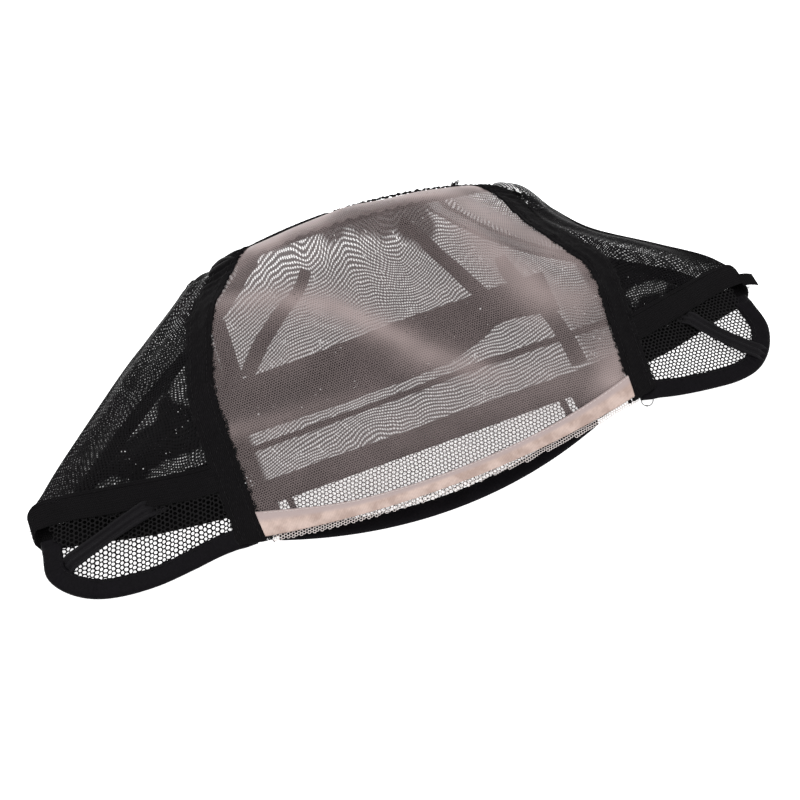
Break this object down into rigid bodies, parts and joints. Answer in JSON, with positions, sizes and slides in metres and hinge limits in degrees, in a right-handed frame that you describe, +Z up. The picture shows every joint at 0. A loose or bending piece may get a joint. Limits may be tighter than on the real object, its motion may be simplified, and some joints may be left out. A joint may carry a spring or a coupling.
{
  "type": "lace wig cap",
  "caption": "Stretch wig cap lying flattened with its front up: sheer lace front and crown, mesh sides and back, coarse net ear tabs and nape, bound rim and short straps.",
  "frame": {"origin": "on the surface that the cap lies on, under the middle of its outline", "axes": "+X along the cap's width from the left side fold to the right one in the picture, +Y from the rim to the crown, +Z up through the lace"},
  "size_m": [0.302, 0.133, 0.0417],
  "materials": {
    "lace": "sheer grey-brown lace with a satin sheen",
    "hairline_tape": "soft pinkish beige tape",
    "stretch_mesh": "fine black stretch mesh",
    "coarse_net": "black net with open hexagons",
    "seam_ribbon": "matt black woven ribbon with tufted edges",
    "elastic": "ribbed black elastic",
    "binding": "smooth black folded tape with a low sheen",
    "strap": "black strap with lengthwise creases"
  },
  "bodies": {
    "root": {"lace_front": "lace", "hairline_tape": "hairline_tape", "seam_ribbon_left": "seam_ribbon", "seam_ribbon_right": "seam_ribbon", "side_mesh_left": "stretch_mesh", "side_mesh_right": "stretch_mesh", "back_mesh": "stretch_mesh", "back_ribbon_left": "seam_ribbon", "back_ribbon_right": "seam_ribbon", "elastic_band": "elastic", "crown_seam": "elastic", "tab_net_left": "coarse_net", "tab_net_right": "coarse_net", "nape_net": "coarse_net", "tab_binding_left": "binding", "tab_binding_right": "binding", "nape_binding": "binding", "nape_end_tape_left": "elastic", "nape_end_tape_right": "elastic", "strap_left": "strap", "strap_right": "strap", "back_cross_band": "elastic", "back_line_tape": "elastic", "crown_ribbon_left": "seam_ribbon", "crown_ribbon_right": "seam_ribbon"}
  },
  "joints": []
}
